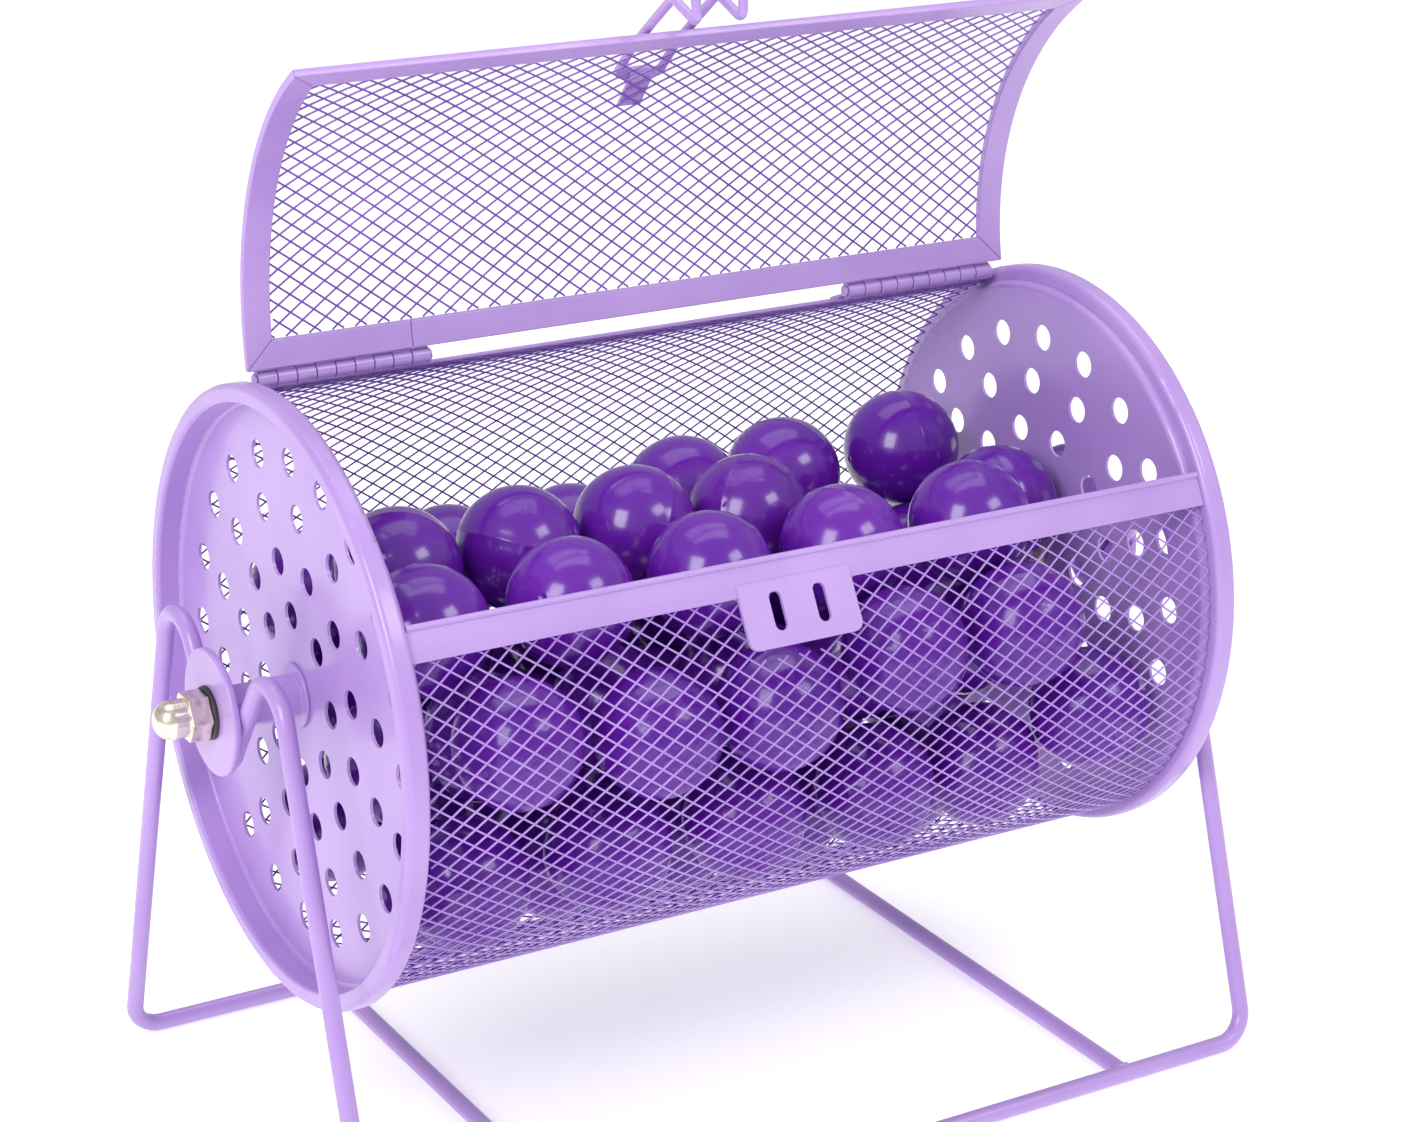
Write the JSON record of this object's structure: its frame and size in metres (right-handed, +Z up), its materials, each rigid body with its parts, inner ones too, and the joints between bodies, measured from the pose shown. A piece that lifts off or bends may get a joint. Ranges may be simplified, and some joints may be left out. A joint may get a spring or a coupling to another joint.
{
  "type": "bingo cage",
  "caption": "Tabletop bingo cage: a mesh drum with perforated ends and a curved hinged lid turns on a bent-rod stand and holds a load of balls.",
  "frame": {"origin": "on the table, straight under the middle of the drum's axle", "axes": "+X along the drum's axle towards the crank, -Y the front with the latch tab, +Z up"},
  "size_m": [0.4879, 0.249, 0.4697],
  "materials": {
    "lavender_paint": "gloss powder coat",
    "mesh_paint": "gloss powder coat on expanded mesh",
    "violet_plastic": "polished moulded plastic",
    "nickel": "nickel plate",
    "black_nylon": "moulded nylon",
    "grip_plastic": "moulded plastic"
  },
  "bodies": {
    "stand": {"stand_wire_left": "lavender_paint", "stand_wire_right": "lavender_paint", "floor_bar_front": "lavender_paint", "floor_bar_rear": "lavender_paint", "crossbar_left": "lavender_paint", "crossbar_right": "lavender_paint", "bearing_disc_left": "lavender_paint", "bearing_disc_right": "lavender_paint", "bearing_bush_left": "black_nylon", "bearing_bush_right": "black_nylon"},
    "drum": {"end_plate_left": "lavender_paint", "end_plate_right": "lavender_paint", "drum_mesh": "mesh_paint", "drum_mesh_upper_left": "mesh_paint", "drum_mesh_upper_right": "mesh_paint", "front_rail": "lavender_paint", "back_rail": "lavender_paint", "hex_spacer_left": "lavender_paint", "hex_spacer_right": "lavender_paint", "axle_washers": "nickel", "axle_bolt_left": "nickel", "axle_bolt_right": "nickel", "acorn_nut_left": "nickel", "acorn_nut_right": "nickel", "hinge_leaf_lower_left": "lavender_paint", "hinge_leaf_lower_right": "lavender_paint", "hinge_pin_left": "lavender_paint", "hinge_pin_right": "lavender_paint", "crank_arm": "lavender_paint", "grip_rivet": "nickel"},
    "lid": {"lid_strip_front": "lavender_paint", "lid_strip_rear_short": "lavender_paint", "lid_strip_rear_long": "lavender_paint", "lid_strip_left": "lavender_paint", "lid_strip_right": "lavender_paint", "lid_mesh": "mesh_paint", "hinge_leaf_upper_left": "lavender_paint", "hinge_leaf_upper_right": "lavender_paint", "latch_keeper": "lavender_paint"},
    "latch": {"latch_wire": "lavender_paint"},
    "crank_grip": {"crank_grip": "grip_plastic"},
    "balls": {"balls": "violet_plastic"}
  },
  "joints": [
    {"name": "drum_spin", "type": "hinge", "parent": "stand", "child": "drum", "pos_m": [0, 0, 0.1918], "axis": [1, 0, 0], "range_deg": [-95, 115]},
    {"name": "lid_hinge", "type": "hinge", "parent": "drum", "child": "lid", "pos_m": [0, 0.0369, 0.30536], "axis": [1, 0, 0], "range_deg": [-60, 85]},
    {"name": "latch_pull", "type": "hinge", "parent": "lid", "child": "latch", "pos_m": [-0.018, 0.01028, 0.4116], "axis": [-1, 0, 0], "range_deg": [0, 22], "stiffness_Nm_per_rad": 0.2},
    {"name": "grip_spin", "type": "hinge", "parent": "drum", "child": "crank_grip", "pos_m": [0.22, 0.08, 0.1918], "axis": [1, 0, 0], "continuous": true},
    {"name": "ball_roll", "type": "hinge", "parent": "stand", "child": "balls", "pos_m": [0, 0, 0.1918], "axis": [1, 0, 0], "range_deg": [-20, 20]}
  ]
}
